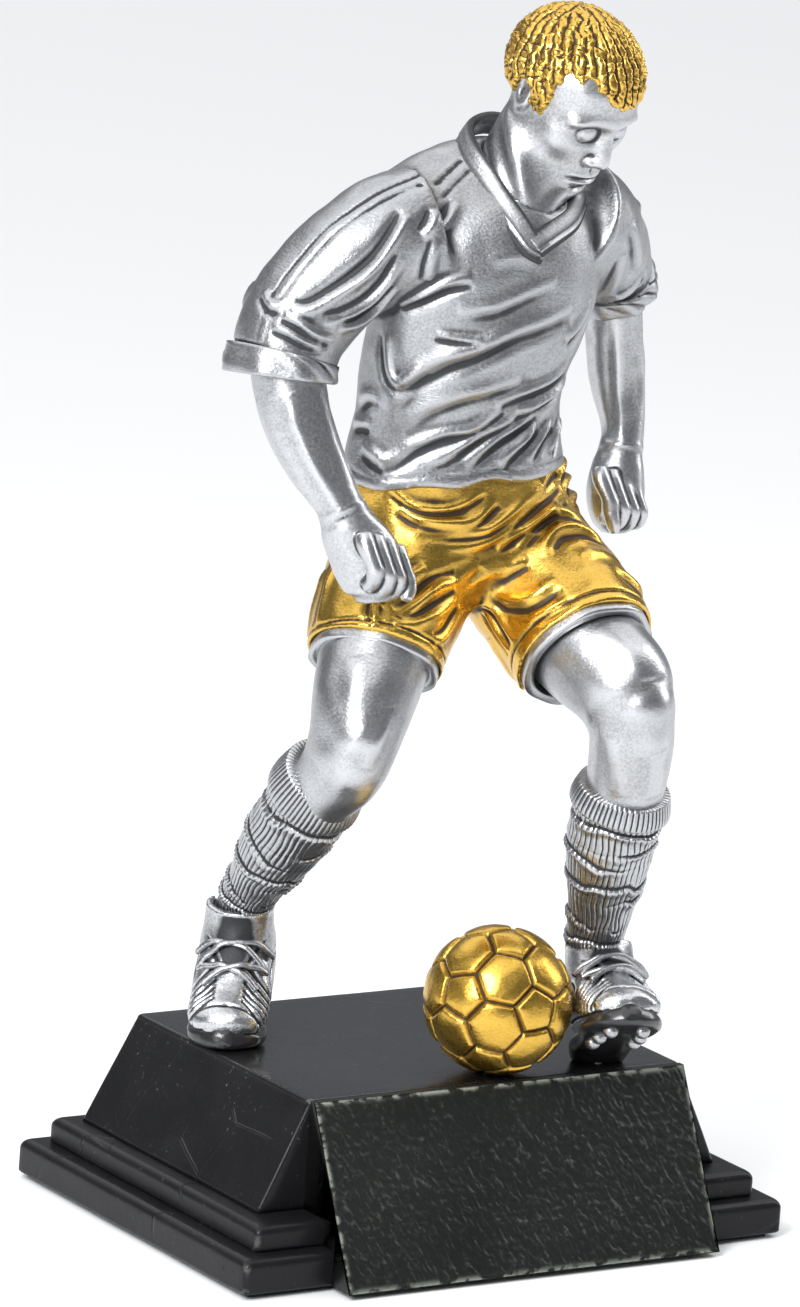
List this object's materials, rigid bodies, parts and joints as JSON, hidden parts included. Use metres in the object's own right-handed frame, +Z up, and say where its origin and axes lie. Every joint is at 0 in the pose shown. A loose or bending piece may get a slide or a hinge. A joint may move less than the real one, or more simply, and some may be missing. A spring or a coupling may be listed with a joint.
{
  "type": "figure trophy",
  "caption": "Sports award: a painted player figure and a ball standing on a black stepped base with a sloping name panel.",
  "frame": {"origin": "centre of the underside, on the surface that the trophy stands on", "axes": "+X to the right of someone facing the name panel, +Y to the back, +Z up"},
  "size_m": [0.11, 0.083, 0.2133],
  "materials": {
    "silver_paint": "bright silver paint on cast resin, darkened in the hollows",
    "gold_paint": "gold paint on cast resin, browned in the hollows",
    "black_lacquer": "gloss black lacquer on cast resin",
    "black_rock_finish": "glossy black crinkled rock texture with lightly worn edges",
    "black_sole": "satin black paint",
    "steel": "bright zinc-plated steel",
    "felt": "black adhesive felt"
  },
  "bodies": {
    "root": {"felt_pad": "felt", "lower_step": "black_lacquer", "upper_step": "black_lacquer", "plinth_body": "black_lacquer", "name_panel": "black_rock_finish", "right_leg_rod": "steel", "left_leg_rod": "steel", "rod_washers": "steel", "rod_nuts": "steel", "ball": "gold_paint", "ball_pin": "steel", "right_sole": "black_sole", "left_sole": "black_sole", "left_sole_studs": "silver_paint", "right_boot": "silver_paint", "left_boot": "silver_paint", "right_laces": "silver_paint", "left_laces": "silver_paint", "right_sock": "silver_paint", "left_sock": "silver_paint", "right_sock_cuff": "silver_paint", "left_sock_cuff": "silver_paint", "right_leg": "silver_paint", "left_leg": "silver_paint", "shorts": "gold_paint", "right_shorts_hem": "silver_paint", "left_shorts_hem": "silver_paint", "shirt": "silver_paint", "collar": "silver_paint", "right_sleeve": "silver_paint", "left_sleeve": "silver_paint", "right_cuff": "silver_paint", "left_cuff": "silver_paint", "right_forearm": "silver_paint", "left_forearm": "silver_paint", "right_hand": "silver_paint", "left_hand": "silver_paint", "head": "silver_paint", "hair": "gold_paint"}
  },
  "joints": []
}
